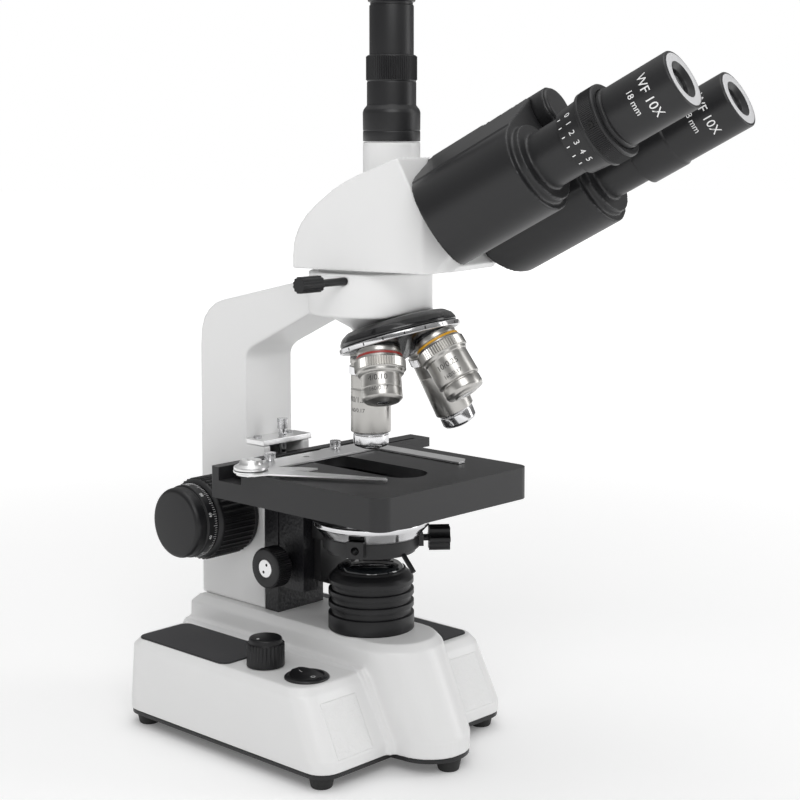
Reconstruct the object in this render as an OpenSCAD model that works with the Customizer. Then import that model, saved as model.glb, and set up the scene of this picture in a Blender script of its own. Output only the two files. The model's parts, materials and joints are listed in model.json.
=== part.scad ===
// Upright trinocular microscope, built as separate pieces.
// Millimetres. +Z is up, -Y is the side where the user sits, +X is the user's right.
// The origin is the centre of the front foot's sole, on the table.

/* [Stand] */
// Height of the stage's top face above the table
stage_z = 152; // [148:1:153]
// Distance of the optical axis behind the front foot
axis_y = 56; // [56:1:58]
// Width of the base across both wings
base_w = 144; // [140:1:146]
// Height of the wings' top face
wing_z = 49.5; // [46:0.5:50]
// Height of the central ridge's top face
ridge_z = 65; // [65:1:66]
// Width of the arm and of its column
arm_w = 35.2; // [34:0.2:36]

/* [Stage] */
// Width of the stage plate
stage_w = 117; // [114:1:118]
// Depth of the stage's skirt below its top face
skirt_h = 17; // [16:0.5:18]
// Width of the light slot through the stage
slot_w = 25; // [24:1:28]

/* [Optics] */
// Tilt of the turret's axis, which is also each objective's angle to it
turret_tilt = 18; // [17:0.5:19]
// Height where all objective axes cross
apex_z = 280; // [279:1:281]
// Turn of the turret's tilt away from straight forwards
turret_lean = 9; // [7:1:10]
// Distance from the crossing point to an objective's shoulder
shoulder_l = 68.5; // [68:0.5:69]
// Turn of the head about the optical axis, away from straight forwards
head_turn = 11.6; // [0:0.1:20]
// Rise of the eyepiece tubes above the horizontal
tube_rise = 28.4; // [27:0.1:30]
// Roll of the eyepiece pair about its own middle line
pair_roll = -8.5; // [-9:0.5:0]
// Distance between the two eyepiece axes
eye_span = 60; // [58:1:62]
// Outer diameter of the photo port's draw tube
photo_d = 23.2; // [23:0.1:25]

/* [Knobs] */
// Radius of the coarse focus knobs
coarse_r = 22.6; // [20:0.2:23.4]
// Radius of the fine focus knobs
fine_r = 19.4; // [17:0.2:19.6]
// Radius of the condenser focus knob
condenser_knob_r = 11.3; // [10:0.1:11.5]

/* [Hidden] */
$fn = 72;
knob_x = -52.5;             // brightness knob
knob_y = 27;
switch_x = -51.5;
switch_y = -3.5;

white = "whitesmoke";
black = [0.13, 0.13, 0.14];
steel = "silver";
glass = [0.75, 0.85, 0.9];

base_z = 9;                 // underside of the base casting
foot_h = 7;
wall = 4;
half_base = base_w / 2;
stage_x = 2;                // middle of the stage plate
half_arm = arm_w / 2;
column_front = 66;          // all these are measured from the optical axis
column_back = 119.5;
arm_front = 80.6;
shelf_z = 160;
head_z = 260;
port_y = -13.1;
focus_y = 91.7;
focus_z = 116.7;
cond_y = 48.5;
cond_z = 94;
guide_front = 55;
bracket_front = 35.2;
stage_front = -61;
stage_back = 65.7;
lower_z = stage_z - skirt_h + 1;
clip_x = -57.5;
clip_y = 31.7;
xy_knob_x = 46.5;
xy_knob_y = 40;
tube_y = -119.4;
tube_z = 312.9;
hinge_t = 33;               // hinge axis above the plane of the tube axes
half_eye = eye_span / 2;
barrel_r = 23.8;
knuckle_r = 11.5;
head_s = -70.5;             // front plane of the head, along the tubes
seat_s = 50;             // nosepiece seat, measured along the turret axis
run = 0.05;                 // running clearance of shafts in bores
gap = 0.4;                  // gap between faces that slide past each other

// ---- placing ----
module on_axis() translate([0, axis_y, 0]) children();
module along_x(y, z) on_axis() translate([0, y, z]) rotate([0, 90, 0]) children();
module at_turret() on_axis() translate([0, 0, apex_z]) rotate([180 - turret_tilt, 0, turret_lean]) children();
module at_objective(turn) at_turret() rotate([0, 0, turn]) rotate([turret_tilt, 0, 0]) children();
module on_head() on_axis() rotate([0, 0, head_turn]) children();
module tube_frame() translate([0, tube_y, tube_z]) rotate([90 - tube_rise, 0, 0]) rotate([0, 0, pair_roll])
    children();
module at_tubes() on_head() tube_frame() children();
module at_lock() translate([-31.3, -10.5, 254.4]) rotate([0, -90, 0]) children();
module turned(points) rotate_extrude($fn = 96) polygon(points);

// ---- shapes that repeat ----
module slab(x, y0, y1, z, h, r) {
    // flat layer with rounded corners, symmetric across X
    translate([0, 0, z]) linear_extrude(h) union() {
        translate([-x, y0 + r]) square([2 * x, y1 - y0 - 2 * r]);
        translate([-x + r, y0]) square([2 * (x - r), y1 - y0]);
        for (cx = [-x + r, x - r], cy = [y0 + r, y1 - r]) translate([cx, cy]) circle(r, $fn = 32);
    }
}
module tongue(x, y_nose, r_nose, y_back, z, h) {
    // flat layer with a round nose towards -Y
    translate([0, 0, z]) linear_extrude(h) union() {
        translate([0, y_nose]) circle(r_nose, $fn = 48);
        polygon([[-r_nose, y_nose], [-x, y_nose + 26], [-x, y_back], [x, y_back],
            [x, y_nose + 26], [r_nose, y_nose]]);
    }
}
module wings(g) {
    // g grows the shape outwards, or shrinks it when negative
    hull() {
        slab(half_base + g, -36 - g, 125 + g, base_z, 6, 12);
        slab(half_base - 1 + g, -20.5 - g, 123.5 + g, wing_z - 4 + g, 0.1, 12);
        slab(half_base - 3.4 + g, -17 - g, 120 + g, wing_z - 0.1 + g, 0.1, 12);
    }
}
module ridge(g) {
    hull() {
        tongue(25 + g, -42.5, 21.5 + g, 124 + g, base_z, 9);
        tongue(25.5 + g, -18.5, 25 + g, 121 + g, ridge_z - 4 + g, 0.1);
        tongue(22 + g, -18, 21.5 + g, 117.5 + g, ridge_z - 0.1 + g, 0.1);
    }
}
module ribbed(r, h, ribs, depth, wide) {
    // knob body with plain flutes cut along it
    difference() {
        cylinder(r = r, h = h);
        for (i = [0:ribs - 1]) rotate([0, 0, i * 360 / ribs])
            translate([r - depth, -wide / 2, -1]) cube([depth + 1, wide, h + 2]);
    }
}
module screw(r, h, slot) {
    // round head standing up from z = 0 with a driver slot
    difference() {
        cylinder(r = r, h = h, $fn = 32);
        translate([-r, -slot / 2, h - 0.6]) cube([2 * r, slot, 1]);
    }
}

// ---- base ----
module base_casting() color(white) on_axis() difference() {
    union() {
        wings(0);
        ridge(0);
        intersection() { wings(2.2); ridge(3); translate([-90, -80, base_z]) cube([180, 210, 60]); }
    }
    translate([0, 0, -0.5]) wings(-wall);
    translate([0, 0, -0.5]) ridge(-wall);
    translate([0, 0, ridge_z - 8]) cylinder(r = 17, h = 10);
    translate([knob_x, knob_y, wing_z - 8]) cylinder(r = 3.6, h = 10);
    translate([switch_x, switch_y, wing_z - 8]) cylinder(r = 10, h = 10);
    translate([-14, 110, 22]) cube([28, 20, 20.4]);
    translate([-16.5, 124.9, 19.5]) cube([33, 10, 25.4]);
    for (x = [-8, 8], y = [72, 116]) translate([x, y, ridge_z - 8]) cylinder(r = 2.5, h = 10, $fn = 32);
    // path of the cable from the base up into the column
    translate([0, 97, ridge_z - 8]) cylinder(r = 4, h = 10, $fn = 32);
}
module base_plate() color(black) on_axis() difference() {
    union() {
        slab(half_base - 0.5, -35.5, 124.5, foot_h - 0.2, base_z - foot_h + 0.2, 12);
        tongue(25, -42.5, 21, 60, foot_h - 0.2, base_z - foot_h + 0.2);
    }
    for (p = [[-62, -25], [62, -25], [-62, 114], [62, 114], [0, -axis_y]])
        translate([p[0], p[1], 0]) cylinder(r = 2.1, h = 20, $fn = 32);
    for (i = [-3:3]) translate([i * 6 - 1.5, 20, 0]) cube([3, 26, 20]);
}
module rubber_feet() color(black) on_axis()
    for (p = [[-62, -25], [62, -25], [-62, 114], [62, 114], [0, -axis_y]])
        translate([p[0], p[1], 0]) turned([[0, 0], [5, 0], [5.6, 0.6], [6.9, foot_h - 0.3],
            [0, foot_h - 0.3]]);
module case_screws() color(steel) on_axis() {
    for (p = [[-12.2, 77], [12.2, 77]])
        translate([p[0], p[1], shelf_z]) screw(2.4, 0.9, 0.7);
    for (x = [-8, 8], y = [72, 116])
        translate([x, y, ridge_z - 7.2]) cylinder(r = 2.4, h = 7.2 + 8, $fn = 32);
}
module hand_pads() color([0.27, 0.27, 0.28]) on_axis() for (s = [-1, 1])
    translate([s * 50, 79.5, 0]) slab(18, -37, 37, wing_z, 0.8, 4);
module led_module() color([0.2, 0.45, 0.3]) on_axis() {
    translate([0, 0, 44]) cylinder(r = 20, h = 1.6);
    translate([0, 0, 45.6]) cylinder(r = 12, h = 6);
    translate([0, 0, 51.6]) cylinder(r = 4, h = 1.5);
    for (a = [0, 120, 240]) rotate([0, 0, a]) translate([17, 0, base_z])
        cylinder(r = 2.5, h = 44 - base_z, $fn = 32);
}
module lamp_collar() color(black) on_axis() difference() {
    turned([[16.8, ridge_z - 6], [16.8, ridge_z], [23.2, ridge_z], [23.2, 74.2], [21.8, 74.6],
        [21.8, 77.6], [23.2, 77.8], [23.2, 80.6], [21.8, 80.9], [21.8, 83.4], [23.2, 83.7],
        [23.2, 87.2], [21.8, 87.5], [21.8, 89], [23.1, 89.2], [23.1, 93.6], [22.4, 93.9],
        [22.4, 94.2], [22.9, 94.5], [22.6, 96], [21.9, 97.3], [20.7, 98.4], [19.4, 98.9], [19.4, 97.4],
        [14, 97.4], [14, ridge_z - 6]]);
    translate([0, 0, 60]) cylinder(r = 14, h = 20);
}
module field_lens() color(glass) on_axis()
    turned([[0, 94], [14, 94], [14, 97.4], [19.3, 97.4], [19.3, 98.6], [17, 99.6], [12, 100.4],
        [6, 100.8], [0, 100.9]]);
module power_board() color([0.2, 0.45, 0.3]) on_axis() {
    translate([-64, 12, wing_z - 20]) cube([34, 46, 1.6]);
    translate([knob_x, knob_y, wing_z - 18.4]) cylinder(r = 8.5, h = 10);
    for (p = [[-60, 50], [-34, 50]]) translate([p[0], p[1], wing_z - 18.4])
        cylinder(r = 2.5, h = 13.85, $fn = 32);
    translate([-43, 36, wing_z - 18.4]) cube([10, 10, 9]);
}
module brightness_knob() color(black) on_axis() translate([knob_x, knob_y, 0]) difference() {
    union() {
        translate([0, 0, wing_z + gap]) intersection() {
            ribbed(10.2, 15, 18, 0.5, 1);
            turned([[0, 0], [10.2, 0], [9.7, 11.4], [9, 12.6], [9, 14.4], [8.2, 15], [0, 15]]);
        }
        translate([0, 0, wing_z + gap]) turned([[0, 0], [9.7, 0], [9.3, 11.4], [8.8, 12.6], [8.8, 14.3],
            [8.1, 14.9], [0, 14.9]]);
        translate([0, 0, wing_z - 8.2]) cylinder(r = 3, h = 9, $fn = 32);
    }
    translate([-5.4, 0, wing_z + 14.8]) cylinder(r = 0.8, h = 2, $fn = 24);
}
module switch_bezel() color(black) on_axis() translate([switch_x, switch_y, 0]) difference() {
    union() {
        turned([[0, wing_z], [11.8, wing_z], [11.8, wing_z + 0.8], [10.4, wing_z + 1.9], [0, wing_z + 1.9]]);
        translate([0, 0, wing_z - 12]) cylinder(r = 9.8, h = 12.5);
    }
    translate([-6.6, -8.2, wing_z - 7]) cube([13.2, 16.4, 20]);
    translate([-8, 0, wing_z - 2]) rotate([0, 90, 0]) cylinder(r = 1.2 + run, h = 16, $fn = 32);
}
module switch_rocker() color(black) on_axis() translate([switch_x, switch_y, wing_z - 2]) {
    rotate([0, 90, 0]) translate([0, 0, -7.5]) cylinder(r = 1.2, h = 15, $fn = 32);
    rotate([8, 0, 0]) translate([-6, 0, 0]) rotate([90, 0, 90]) linear_extrude(12)
        polygon([[-4, -2], [4, -2], [7.2, 2.5], [7.2, 4.6], [0, 3.2], [-7.2, 4.6], [-7.2, 2.5]]);
}
module power_inlet() color(black) on_axis() difference() {
    union() {
        translate([-13.5, 107, 22.5]) cube([27, 14.6, 19.4]);
        translate([-16, 125.05, 20]) cube([32, 2, 24.4]);
        translate([-13.5, 120, 22.5]) cube([27, 6, 19.4]);
    }
    difference() {
        translate([-11, 111, 25]) cube([22, 20, 14.4]);
        for (x = [-6.5, 0, 6.5]) translate([x - 1, 109, 31 + (x == 0 ? 2.5 : 0)]) cube([2, 15, 4]);
    }
}

// ---- arm and focus drive ----
module arm_side() {
    // side outline of column and arm, Y across and Z up
    polygon([[column_front, ridge_z], [column_front, shelf_z - 3], [arm_front, shelf_z - 3],
        [arm_front, 205], [79.2, 208.4], [76.4, 211], [72, 213.4], [30, 233.2], [0, 236], [0, 256],
        [30, 252.6], [45.2, 249.2], [100, 236.8], [106.5, 234.6], [112, 230.8], [116.5, 225.5],
        [118.8, 219], [column_back, 211], [column_back, ridge_z]]);
}
module arm_casting() color(white) on_axis() difference() {
    union() {
        rotate([90, 0, 90]) translate([0, 0, -half_arm]) linear_extrude(arm_w) arm_side();
        turned([[0, 222], [8.4, 222], [10.4, 227], [22.6, 233.8], [32.3, 235.2], [33, 236.4], [33, 257.4],
            [32.4, 258], [0, 258]]);
    }
    // front channel of the lower column, and the hollow above it
    translate([-half_arm + 5.6, column_front - 1, ridge_z - 1]) cube([arm_w - 11.2, 48, shelf_z - 2 - ridge_z]);
    translate([-half_arm + 5.6, arm_front + 5.5, ridge_z + 20]) cube([arm_w - 11.2, 27, 128]);
    translate([0, 0, 210]) cylinder(r = 6.5, h = 60);
    translate([0, 0, 240]) cylinder(r = 14, h = 30);
    translate([0, 0, 254]) cylinder(r = 27.4, h = 10);
    translate([0, focus_y, focus_z]) rotate([0, 90, 0]) translate([0, 0, -30]) cylinder(r = 6 + run, h = 60);
    at_lock() translate([0, 0, -12]) cylinder(r = 2 + run, h = 24, $fn = 32);
    for (x = [-8, 8]) translate([x, 116, ridge_z - 1]) cylinder(r = 2.5, h = 10, $fn = 32);
    // inclined seat of the nosepiece
    translate([0, 0, apex_z]) rotate([180 - turret_tilt, 0, turret_lean]) translate([0, 0, seat_s])
        cylinder(r = 34, h = 30);
}
module stop_shelf() color([0.75, 0.75, 0.74]) on_axis() difference() {
    translate([-half_arm, column_front - 0.1, shelf_z - 3]) cube([arm_w + 1.6, arm_front - column_front, 3]);
    translate([1, 70.7, shelf_z - 5]) cylinder(r = 2 + run, h = 8, $fn = 32);
}
module stop_screw() color(steel) on_axis() translate([1, 70.7, 0]) {
    translate([0, 0, 150.3]) cylinder(r = 2, h = 15, $fn = 32);
    translate([0, 0, shelf_z + 0.5]) cylinder(r = 2.6, h = 1.6, $fn = 6);
    translate([0, 0, 164.4]) ribbed(2.9, 5.8, 20, 0.3, 0.45);
}
module focus_block() color(black) on_axis() difference() {
    union() {
        translate([-half_arm + 0.3, guide_front, ridge_z]) cube([arm_w - 0.6, column_front - guide_front - 0.1, 68]);
        translate([-11.9, column_front - 0.2, ridge_z]) cube([23.8, 12, 68]);
    }
    translate([-7 - gap, 50, ridge_z + 20]) cube([14 + 2 * gap, 40, 60]);
    translate([8.5, guide_front - 1, 78]) rotate([-90, 0, 0]) cylinder(r = 2.1, h = 6, $fn = 32);
    for (x = [-8, 8]) translate([x, 72, ridge_z - 1]) cylinder(r = 2.5, h = 10, $fn = 32);
}
module coarse_shaft() color(steel) along_x(focus_y, focus_z) difference() {
    union() {
        translate([0, 0, -30]) cylinder(r = 6, h = 60);
        ribbed_pinion();
    }
    translate([0, 0, -40]) cylinder(r = 3 + run, h = 80, $fn = 48);
}
module ribbed_pinion() translate([0, 0, -6]) cylinder(r = 6.4, h = 12);
module coarse_knob(s) along_x(focus_y, focus_z) rotate([0, s < 0 ? 180 : 0, 0]) difference() {
    union() {
        translate([0, 0, half_arm + 0.4]) cylinder(r = coarse_r - 0.8, h = 2.6);
        translate([0, 0, half_arm + 3]) ribbed(coarse_r, 24.4, 44, 0.9, 1.5);
        translate([0, 0, half_arm + 27.4]) cylinder(r1 = coarse_r - 1, r2 = coarse_r - 2.4, h = 1.4);
    }
    translate([0, 0, half_arm + 20]) cylinder(r = 17.5, h = 20);
    translate([0, 0, 0]) cylinder(r = 6, h = 60);
}
module coarse_knob_left() color(black) coarse_knob(-1);
module coarse_knob_right() color(black) coarse_knob(1);
module fine_shaft() color(steel) along_x(focus_y, focus_z) translate([0, 0, -56]) cylinder(r = 3, h = 112, $fn = 48);
module fine_knob(s) along_x(focus_y, focus_z) rotate([0, s < 0 ? 180 : 0, 0]) difference() {
    union() {
        turned([[3, 39], [8, 39], [8, 46.9], [fine_r + 0.8, 46.9], [fine_r + 0.3, 50.4], [fine_r, 50.8],
            [fine_r, 59], [fine_r - 1.4, 60.4], [3, 60.4]]);
        translate([0, 0, 56]) cylinder(r = 4, h = 4.4);
    }
    translate([0, 0, 30]) cylinder(r = 3, h = 26, $fn = 48);
}
module fine_knob_left() color(black) fine_knob(-1);
module fine_knob_right() color(black) fine_knob(1);
module focus_slide() color(steel) on_axis() difference() {
    union() {
        translate([-7, guide_front - gap + 0.05, 92]) cube([14, focus_y - 6.8 - guide_front + gap - 0.05, 44]);
        translate([-6, 66, 130]) cube([12, 9.4, 11]);
    }
    // slots of the lifting screw and of the weight saving hole
    translate([0, 75, 88]) cylinder(r = 2.5, h = 60, $fn = 32);
}
module stage_bracket() color(black) on_axis() difference() {
    union() {
        translate([-16.8, bracket_front, 80]) cube([33.6, guide_front - gap - bracket_front, lower_z - 80]);
        translate([-26, 20, lower_z - 5]) difference() {
            cube([52, guide_front - gap - 20, 5]);
            translate([26, -20, -1]) cylinder(r = 36, h = 9);
        }
    }
    translate([-5 - gap, bracket_front - 1, 70]) cube([10 + 2 * gap, 12, lower_z - 70 - 5.5]);
    translate([-30, cond_y, cond_z]) rotate([0, 90, 0]) cylinder(r = 3 + run, h = 60, $fn = 48);
    translate([-5 - gap, 40, cond_z - 6]) cube([10 + 2 * gap, 13, 12]);
}

// ---- stage ----
module stage_lower_plate() color(black) on_axis() difference() {
    slab(40, -50, 54, lower_z, 4.4, 5);
    translate([0, 0, lower_z - 1]) cylinder(r = 36, h = 8);
}
module stage_plate() color([0.2, 0.2, 0.21]) on_axis() difference() {
    translate([stage_x, 0, 0]) union() {
        slab(stage_w / 2, stage_front, stage_back - 20, stage_z - skirt_h, skirt_h, 8);
        slab(stage_w / 2, 0, stage_back, stage_z - skirt_h, skirt_h, 2);
    }
    // hollow below the plate, open at the back
    translate([stage_x - stage_w / 2 + 5, stage_front + 5, stage_z - skirt_h - 1]) cube([stage_w - 10, 96, 12]);
    translate([stage_x - stage_w / 2 + 5, 30, stage_z - skirt_h - 1]) cube([stage_w - 10, 50, 6.8]);
    // light slot
    translate([0, 0, stage_z - 20]) linear_extrude(40) union() {
        translate([0, -24]) circle(slot_w / 2);
        translate([0, 28]) circle(slot_w / 2);
        translate([-slot_w / 2, -24]) square([slot_w, 52]);
    }
    // channel of the cross rail
    translate([-stage_w, 41, stage_z - 7.2]) cube([2 * stage_w, 18, 20]);
    // bores of the knob shafts
    translate([xy_knob_x, xy_knob_y, stage_z - 16]) cylinder(r = 3 + run, h = 7.4, $fn = 48);
}
module x_rail() color(black) on_axis() difference() {
    translate([-56, 42, stage_z - 6.8]) cube([149, 15.4, 5.4]);
    translate([-40, 46, stage_z - 4]) cube([125, 2, 10]);
    for (x = [-29.7, 20]) translate([x, 51.5, stage_z - 12]) cylinder(r = 1.5, h = 20, $fn = 32);
}
module slide_holder() color(steel) on_axis() {
    z = stage_z + 0.3;
    for (x = [-29.7, 20]) translate([x - 5, 45, stage_z - 1.4]) cube([10, 10, 1.8]);
    translate([0, 0, z]) linear_extrude(1) difference() {
        union() {
            polygon([[-62, 24], [-62, 40], [-50, 50], [42, 50], [47, 44], [47, -26], [42, -30], [37, -30],
                [37, 31.8], [-38, 31.8], [-30, 22], [-26, 14], [-34, 14], [-46, 24]]);
            translate([clip_x, clip_y]) circle(8);
        }
        for (x = [-29.7, 20]) translate([x, 47.5]) circle(1.4, $fn = 32);
        translate([-8, 42]) circle(2, $fn = 32);
    }
    translate([clip_x, clip_y, z + 1]) cylinder(r = 2.2, h = 7, $fn = 32);
    translate([clip_x, clip_y, z + 2.7]) turned([[2.2, 0], [9, 0], [9.2, 0.6], [9, 1.6], [6.6, 2.8], [6, 4.3],
        [5.2, 5], [2.2, 5]]);
}
module holder_screws() color(steel) on_axis() for (x = [-29.7, 20]) translate([x, 47.5, stage_z + 1.3]) {
    translate([0, 0, 0.9]) ribbed(3.1, 3.6, 16, 0.35, 0.6);
    cylinder(r = 2, h = 1, $fn = 32);
}
module finger_clip() color(steel) on_axis() translate([clip_x, clip_y, stage_z + 1.7]) difference() {
    union() {
        linear_extrude(0.8) polygon([[-10, -9], [8, -7], [12, -14], [33.5, -66], [31.5, -68], [28, -63], [-1, -15],
            [-12, -10]]);
        translate([4, -7, 0]) cylinder(r = 2, h = 0.8, $fn = 32);
        cylinder(r = 9.4, h = 0.8);
        translate([32, -66.6, -0.9]) cylinder(r = 1.2, h = 1.4, $fn = 24);
    }
    translate([0, 0, -1]) cylinder(r = 2.2 + run, h = 3, $fn = 32);
}
module stage_y_knob() color(black) on_axis() translate([xy_knob_x, xy_knob_y, 0]) difference() {
    union() {
        translate([0, 0, 115]) ribbed(12, 17, 32, 0.6, 1.2);
        translate([0, 0, 131]) cylinder(r = 3, h = stage_z - 10.6 - 131, $fn = 48);
    }
    translate([0, 0, 110]) cylinder(r = 1.8 + run, h = 60, $fn = 32);
}
module stage_x_knob() color(black) on_axis() translate([xy_knob_x, xy_knob_y, 0]) {
    translate([0, 0, 98]) ribbed(9.5, 16.4, 26, 0.6, 1.2);
    translate([0, 0, 110]) cylinder(r = 1.8, h = stage_z - 10.6 - 110, $fn = 32);
}

// ---- condenser ----
module condenser_knob() color(black) along_x(cond_y, cond_z) {
    translate([0, 0, -33]) difference() {
        ribbed(condenser_knob_r, 10.4, 40, 0.5, 0.9);
        translate([0, 0, -1]) cylinder(r = 5.2, h = 1.8);
    }
    translate([0, 0, -32.4]) cylinder(r = 5.1, h = 1);
    translate([0, 0, -23]) cylinder(r = 5, h = 5.6);
    translate([0, 0, -23]) cylinder(r = 3, h = 38, $fn = 48);
    translate([0, 0, -4.6]) cylinder(r = 4.2, h = 9.2);
}
module condenser_holder() color(black) on_axis() difference() {
    union() {
        translate([0, 0, 109.6]) cylinder(r = 26, h = 6);
        translate([-11, 20, 109.6]) cube([22, bracket_front - gap - 20, 8]);
        translate([-9, bracket_front - 5 - gap, 86]) cube([18, 5, 32]);
        translate([-5, bracket_front - 1, 86]) cube([10, cond_y - 4.5 - bracket_front + 1, 32]);
        rotate([0, 0, 208]) translate([22, -4.6, 109.6]) cube([8.6, 9.2, 8.4]);
        rotate([0, 0, 317]) translate([22, -5, 109.6]) cube([6, 10, 6]);
    }
    translate([0, 0, 100]) cylinder(r = 22, h = 30);
    translate([0, 0, 115.65]) cylinder(r1 = 26.4, r2 = 33, h = 7);
    rotate([0, 0, 208]) translate([20, 0, 113.3]) rotate([0, 90, 0]) cylinder(r = 2.2, h = 14, $fn = 32);
    rotate([0, 0, 317]) translate([20, 0, 113.2]) rotate([0, 90, 0]) cylinder(r = 1.8 + run, h = 14, $fn = 32);
}
module condenser_body() color(steel) on_axis() difference() {
    turned([[21.9, 109.6], [21.9, 115.7], [26, 115.7], [27, 117], [31, 121.4], [31.6, 122.2], [31.6, 124.4],
        [30.8, 125], [20, 125], [14, 134], [11, 136.5], [10.5, 141.6], [9, 142], [9, 137], [12, 132],
        [17, 124], [18, 122], [18, 109.6]]);
    rotate([0, 0, 317]) translate([19.5, 0, 113.2]) rotate([0, 90, 0]) cylinder(r = 1.8 + run, h = 4, $fn = 32);
}
module condenser_lens() color(glass) on_axis() {
    turned([[0, 137.2], [8.9, 137.2], [8.9, 141.4], [6, 141.8], [0, 142]]);
    turned([[0, 112], [17.9, 112], [17.9, 116], [12, 119], [0, 120.5]]);
}
module iris_ring() color(black) on_axis() difference() {
    union() {
        translate([0, 0, 107.3]) cylinder(r = 24, h = 2);
        translate([0, -23.4, 108.5]) rotate([137, 0, 0]) cylinder(r = 1.3, h = 11.6, $fn = 24);
    }
    translate([0, 0, 100]) cylinder(r = 16, h = 20);
}
module condenser_clamp() color(black) on_axis() rotate([0, 0, 317]) translate([0, 0, 113.2]) rotate([0, 90, 0]) {
    translate([0, 0, 22.4]) cylinder(r = 1.8, h = 12, $fn = 32);
    translate([0, 0, 31]) difference() {
        cylinder(r = 7, h = 11.4);
        for (a = [0:60:359]) rotate([0, 0, a]) translate([8.2, 0, -1]) cylinder(r = 3, h = 20, $fn = 32);
    }
}

// ---- nosepiece ----
module nosepiece_base() color(black) at_turret() difference() {
    union() {
        turned([[0, seat_s], [21, seat_s], [26.5, seat_s + 1.2], [30, seat_s + 3.6], [31.6, 56.4], [31.6, 58.2],
            [0, 58.2]]);
        rotate([0, 0, 205]) translate([26, -3, seat_s]) cube([5.2, 6, 7.8]);
    }
    rotate([turret_tilt, 0, 0]) cylinder(r = 9, h = 90, $fn = 48);
    translate([0, 0, 48]) cylinder(r = 4 + run, h = 20, $fn = 48);
}
module turret() color(black) at_turret() difference() {
    union() {
        turned([[0, 58.6], [31.8, 58.6], [32.7, 59.2], [32.7, 60.6], [32.1, 61.2], [0, 71.6]]);
        for (k = [0:3]) rotate([0, 0, 90 * k]) rotate([turret_tilt, 0, 0])
            translate([0, 0, 66]) cylinder(r = 11, h = shoulder_l - 66);
        cylinder(r = 4, h = 62, $fn = 48);
    }
    cylinder(r = 10, h = seat_s + 1);
    for (k = [0:3]) rotate([0, 0, 90 * k]) rotate([turret_tilt, 0, 0])
        translate([0, 0, 46]) cylinder(r = 9, h = 60);
}
module objective_shell(turn, body, bore_r) at_objective(turn) translate([0, 0, shoulder_l]) difference() {
    union() {
        translate([0, 0, -3.6]) cylinder(r = 8.9, h = 3.8);
        turned(concat([[0, 0]], body, [[0, body[len(body) - 1][1]]]));
    }
    translate([0, 0, -6]) cylinder(r = bore_r, h = 80, $fn = 48);
}
ring_top = [[11.6, 0], [11.6, 2.6], [11.9, 2.7], [11.9, 4.2], [12.4, 4.4], [12.4, 5.4]];
module objective_4x() color(steel) objective_shell(-90,
    concat(ring_top, [[13, 5.6], [13, 11], [12.4, 11.4], [11.4, 13.4], [10.4, 14], [10.4, 26.6], [9.4, 27.5]]), 4);
module objective_10x() color(steel) objective_shell(180,
    concat(ring_top, [[13, 5.6], [13, 11], [12, 11.3], [12, 13.2], [11.5, 13.6], [11.5, 26.4], [11, 26.8],
        [10.2, 27], [10.2, 32.6], [9.4, 33.4], [6.5, 34.6]]), 4);
slim = [[11.2, 0], [11.2, 3], [10.8, 3.2], [10.8, 4.4], [11.2, 4.6], [11.2, 9], [10.8, 9.2], [10.8, 40]];
module objective_40x() color(steel) objective_shell(90, slim, 9.6);
module objective_100x() color(steel) objective_shell(0, slim, 9.6);
module sprung_tip(turn) at_objective(turn) translate([0, 0, shoulder_l]) difference() {
    turned([[0, 24.6], [9.55, 24.6], [9.55, 46.2], [8.8, 47.4], [4.6, 49], [0, 49]]);
    translate([0, 0, 24]) cylinder(r = 2.2, h = 23.2, $fn = 32);
}
module sprung_tip_40x() color(steel) sprung_tip(90);
module sprung_tip_100x() color(steel) sprung_tip(0);

// ---- head ----
function along(s, t) = [tube_y - s * cos(tube_rise) + t * sin(tube_rise),
    tube_z + s * sin(tube_rise) + t * cos(tube_rise)];
back_r = 30.5;              // the roof's two radii, from the back wall forwards
roof_r = 92;
back_arc = [for (a = [0:9:45]) [27.6 - back_r + back_r * cos(a), 267 + back_r * sin(a)]];
roof_mid = back_arc[5] - roof_r * [cos(45), sin(45)];
roof_arc = [for (a = [51:6:69]) roof_mid + roof_r * [cos(a), sin(a)]];
module head_side() polygon(concat([[27.6, head_z]], back_arc, roof_arc,
    [along(head_s, 44), along(head_s, -10), [-56, head_z]]));
module head_front() polygon([[-20, head_z], [-20, 305], along(head_s, 44), along(head_s, -18), [-62, 260.6],
    [-48, head_z]]);
module head_casting() color(white) on_head() difference() {
    union() {
        rotate([90, 0, 90]) translate([0, 0, -33]) linear_extrude(66) head_side();
        rotate([90, 0, 90]) translate([0, 0, -22]) linear_extrude(44) head_front();
        translate([0, port_y, 296]) cylinder(r = 15, h = 29.8);
        translate([0, 0, 255]) cylinder(r = 27.3, h = 6);
        tube_frame() translate([0, hinge_t, -98]) cylinder(r = knuckle_r + 1.6, h = 22);
    }
    // bevels of the two front corners
    for (s = [-1, 1]) translate([s * 33, -67, 250]) rotate([0, 0, 45]) translate([-11, -11, 0]) cube([22, 22, 90]);
    // prism chamber, light paths and the hinge shaft's bore
    translate([-25, -46, 266]) cube([50, 62, 28]);
    translate([0, 0, 250]) cylinder(r = 14, h = 20);
    translate([0, port_y, 280]) cylinder(r = 11.2, h = 60);
    tube_frame() translate([0, hinge_t, -92]) cylinder(r = 5, h = 40, $fn = 48);
    tube_frame() translate([0, hinge_t, -75.5]) cylinder(r = knuckle_r + 0.5, h = 30);
    tube_frame() translate([0, 2, -90]) cylinder(r = 9, h = 60, $fn = 48);
}
module head_prism() color(glass) on_head()
    rotate([90, 0, 90]) translate([0, 0, -13]) linear_extrude(26)
        polygon([[12, 266.2], [-14, 266.2], [-36, 278], [-24, 292], [12, 292]]);
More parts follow.
